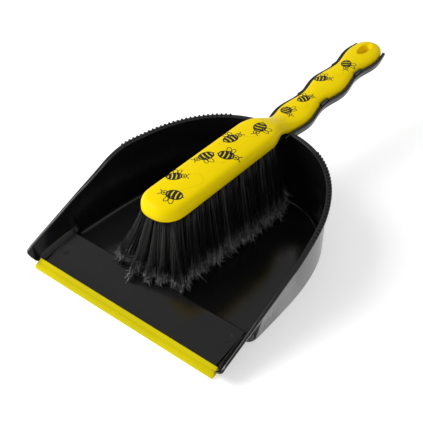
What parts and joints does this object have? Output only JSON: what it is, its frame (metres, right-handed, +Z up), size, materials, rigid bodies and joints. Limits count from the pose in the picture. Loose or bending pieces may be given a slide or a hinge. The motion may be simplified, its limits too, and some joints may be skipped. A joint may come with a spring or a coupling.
{
  "type": "dust pan and brush set",
  "caption": "Black moulded dust pan with a soft yellow lip and hollow wavy handle, and a yellow hand brush with black bristles that parks in it and lifts straight out.",
  "frame": {"origin": "middle of the bounding box's bottom face, on the ground under the pan", "axes": "+Z up, +Y from the lip to the end of the handle, +X to the right seen from the lip's side looking along the handle"},
  "size_m": [0.2101, 0.37, 0.0892],
  "materials": {
    "pan_plastic": "glossy",
    "lip_rubber": "matte",
    "brush_plastic": "satin",
    "bristle": "matte",
    "anchor_metal": "satin"
  },
  "bodies": {
    "pan": {"pan": "pan_plastic", "lip_strip": "lip_rubber"},
    "brush": {"brush_stock": "brush_plastic", "tuft_rank_01": "bristle", "tuft_rank_02": "bristle", "tuft_rank_03": "bristle", "tuft_rank_04": "bristle", "tuft_rank_05": "bristle", "tuft_rank_06": "bristle", "tuft_rank_07": "bristle", "tuft_rank_08": "bristle", "tuft_rank_09": "bristle", "tuft_rank_10": "bristle", "tuft_rank_11": "bristle", "tuft_rank_12": "bristle", "tuft_rank_13": "bristle", "tuft_rank_14": "bristle", "tuft_rank_15": "bristle", "tuft_rank_16": "bristle", "tuft_rank_17": "bristle", "anchor_rank_01": "anchor_metal", "anchor_rank_02": "anchor_metal", "anchor_rank_03": "anchor_metal", "anchor_rank_04": "anchor_metal", "anchor_rank_05": "anchor_metal", "anchor_rank_06": "anchor_metal", "anchor_rank_07": "anchor_metal", "anchor_rank_08": "anchor_metal", "anchor_rank_09": "anchor_metal", "anchor_rank_10": "anchor_metal", "anchor_rank_11": "anchor_metal", "anchor_rank_12": "anchor_metal", "anchor_rank_13": "anchor_metal", "anchor_rank_14": "anchor_metal", "anchor_rank_15": "anchor_metal", "anchor_rank_16": "anchor_metal", "anchor_rank_17": "anchor_metal"}
  },
  "joints": [
    {"name": "brush_lift", "type": "slide", "parent": "pan", "child": "brush", "axis": [0, 0, 1], "range_m": [0, 0.12]}
  ]
}
